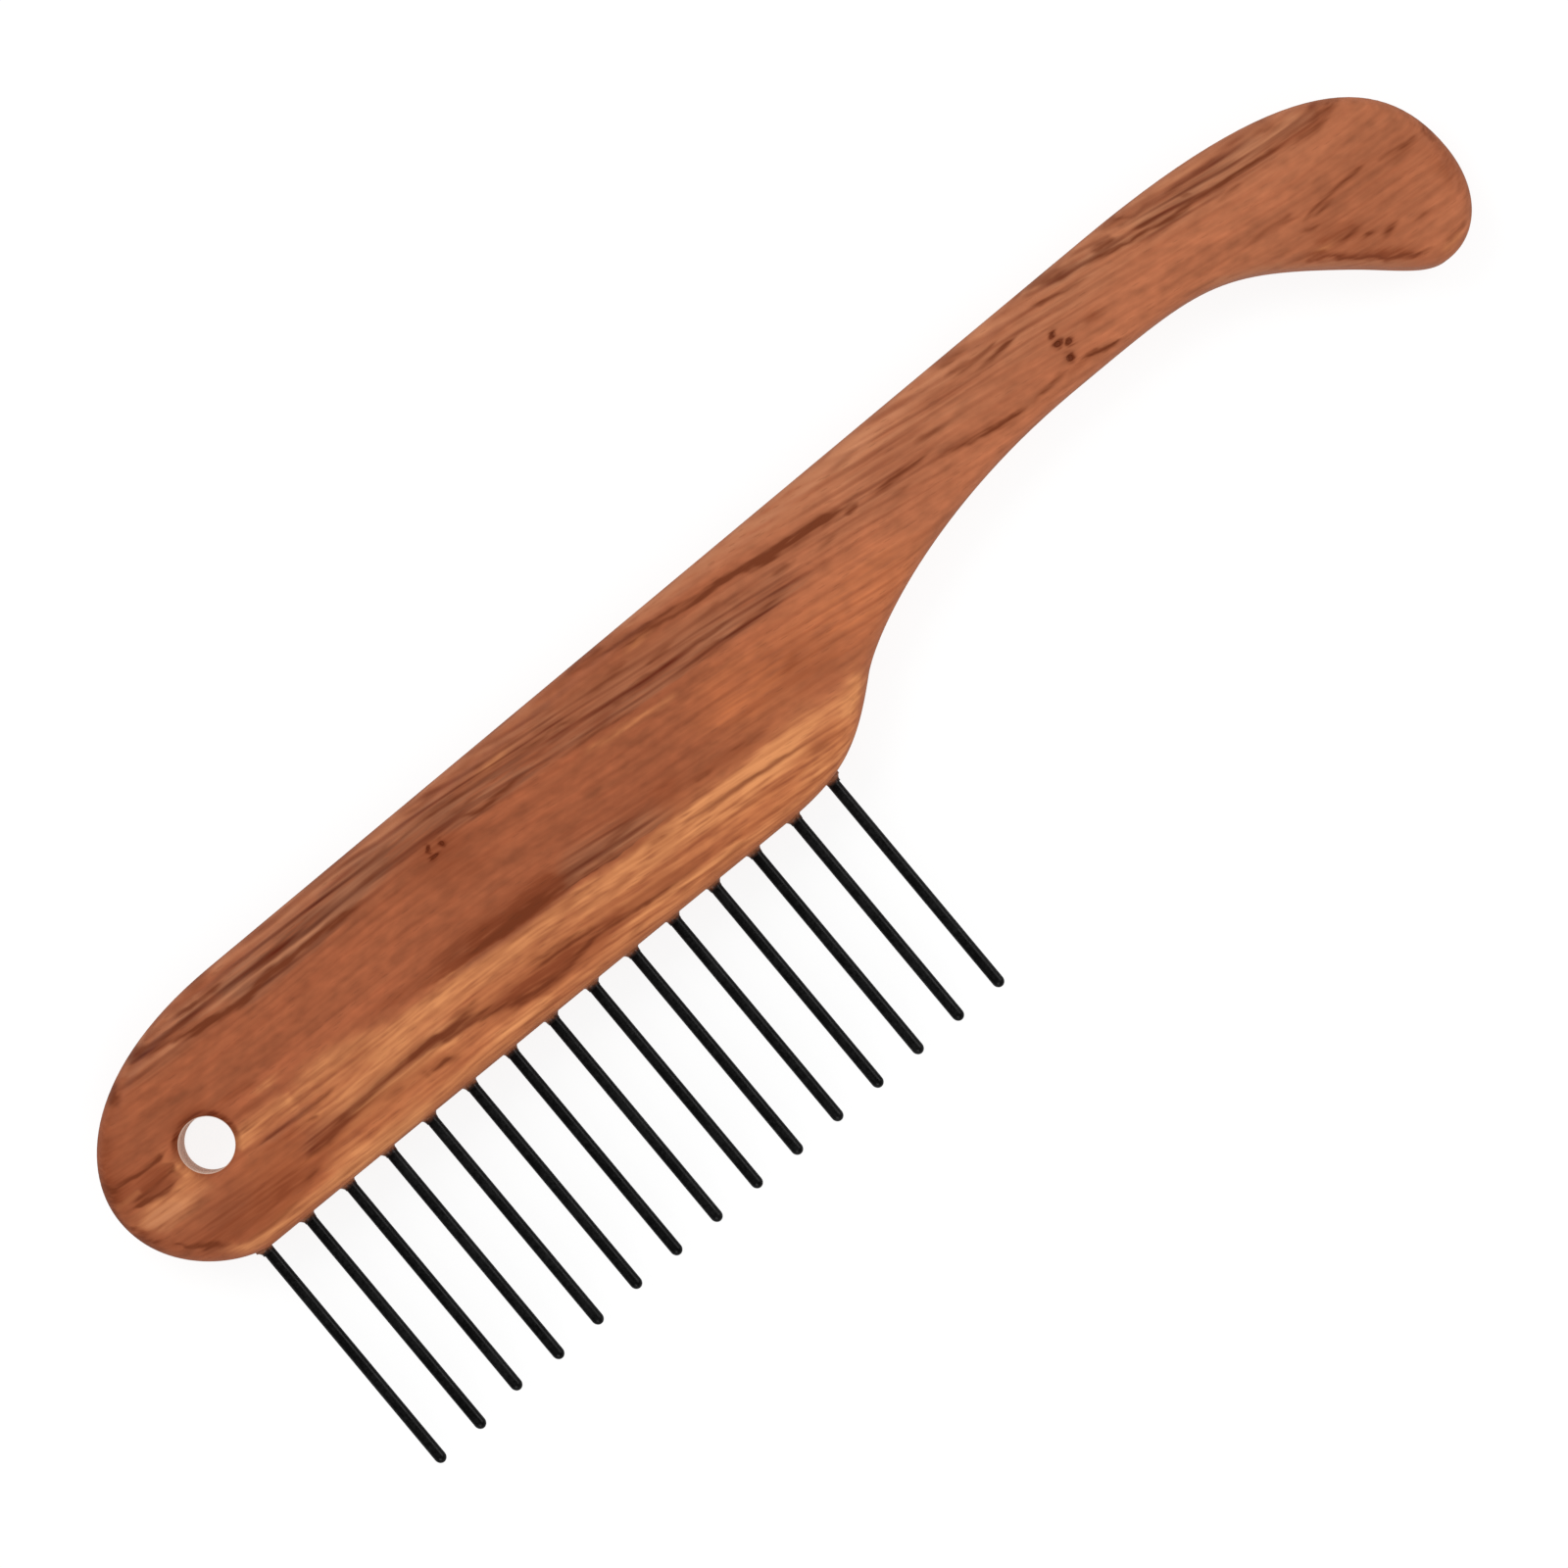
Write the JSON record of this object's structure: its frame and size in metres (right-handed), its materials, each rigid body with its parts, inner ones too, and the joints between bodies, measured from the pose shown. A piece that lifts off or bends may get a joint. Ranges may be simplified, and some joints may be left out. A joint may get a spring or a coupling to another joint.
{
  "type": "grooming comb",
  "caption": "Long-toothed grooming comb: straight coated steel pins set in a one-piece wooden head, with a curved grip ending in a bulb and a hanging hole in the nose.",
  "frame": {"origin": "under the middle of the overall box, on the plane of the back face that the comb lies on", "axes": "+X along the straight back edge from the nose of the head to the end of the grip, -Y the way the pins point, +Z out of the upper face"},
  "size_m": [0.2438, 0.076, 0.012],
  "materials": {
    "hardwood": "oiled reddish brown hardwood with honey and dark streaks, satin",
    "pin_coating": "black coating on steel, semi-matt",
    "resin": "cured amber-brown adhesive"
  },
  "bodies": {
    "root": {"handle": "hardwood", "pin_01": "pin_coating", "pin_02": "pin_coating", "pin_03": "pin_coating", "pin_04": "pin_coating", "pin_05": "pin_coating", "pin_06": "pin_coating", "pin_07": "pin_coating", "pin_08": "pin_coating", "pin_09": "pin_coating", "pin_10": "pin_coating", "pin_11": "pin_coating", "pin_12": "pin_coating", "pin_13": "pin_coating", "pin_14": "pin_coating", "pin_15": "pin_coating", "bead_01": "resin", "bead_02": "resin", "bead_03": "resin", "bead_04": "resin", "bead_05": "resin", "bead_06": "resin", "bead_07": "resin", "bead_08": "resin", "bead_09": "resin", "bead_10": "resin", "bead_11": "resin", "bead_12": "resin", "bead_13": "resin", "bead_14": "resin", "bead_15": "resin"}
  },
  "joints": []
}
